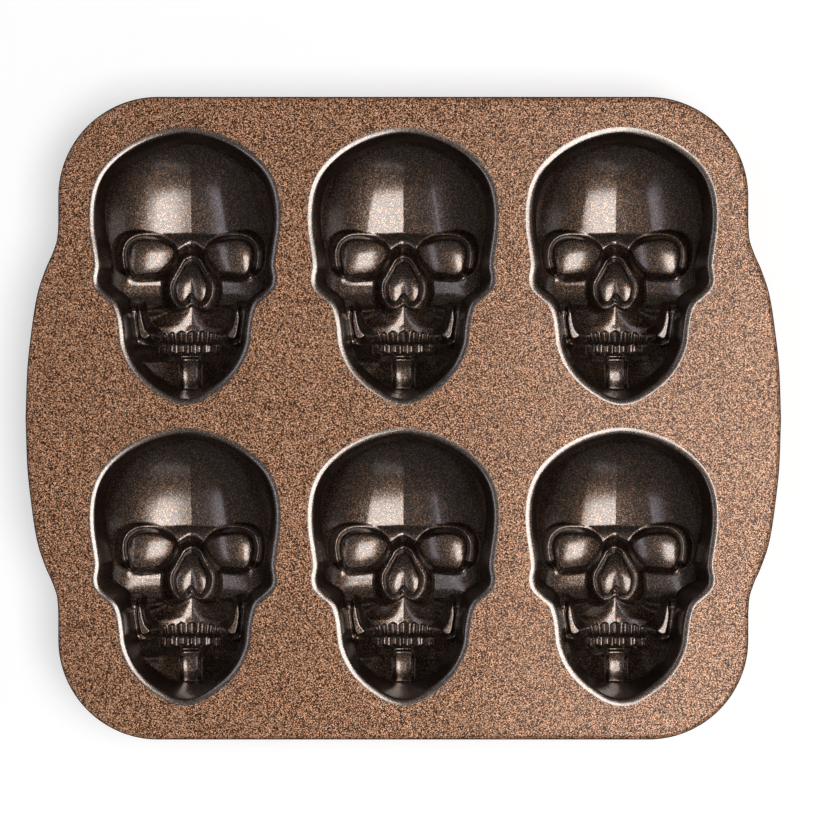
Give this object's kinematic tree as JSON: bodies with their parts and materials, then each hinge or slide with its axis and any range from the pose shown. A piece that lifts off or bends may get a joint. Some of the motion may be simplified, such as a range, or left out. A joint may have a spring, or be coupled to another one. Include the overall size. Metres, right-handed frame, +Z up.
{
  "type": "skull cake pan",
  "caption": "Cast baking pan with rows of skull-shaped cavities in a flat, round-cornered deck with a low ear handle at each end, in bronze-brown metallic non-stick finish.",
  "frame": {"origin": "on the surface that the feet stand on, under the middle of the pan", "axes": "+X to the right along the long side, from one ear handle to the other; +Y away, towards the crowns of the skulls; +Z up, out of the cavities"},
  "size_m": [0.335, 0.285, 0.039],
  "materials": {
    "deck_coating": "bronze-brown metallic non-stick coating with a fine speckle, satin",
    "cup_coating": "bronze-brown metallic non-stick coating on polished relief, semi-gloss"
  },
  "bodies": {
    "root": {"deck_plate": "deck_coating", "edge_rib": "deck_coating", "handle_left": "deck_coating", "handle_right": "deck_coating", "skull_cup_front_left": "cup_coating", "skull_cup_front_middle": "cup_coating", "skull_cup_front_right": "cup_coating", "skull_cup_back_left": "cup_coating", "skull_cup_back_middle": "cup_coating", "skull_cup_back_right": "cup_coating"}
  },
  "joints": []
}
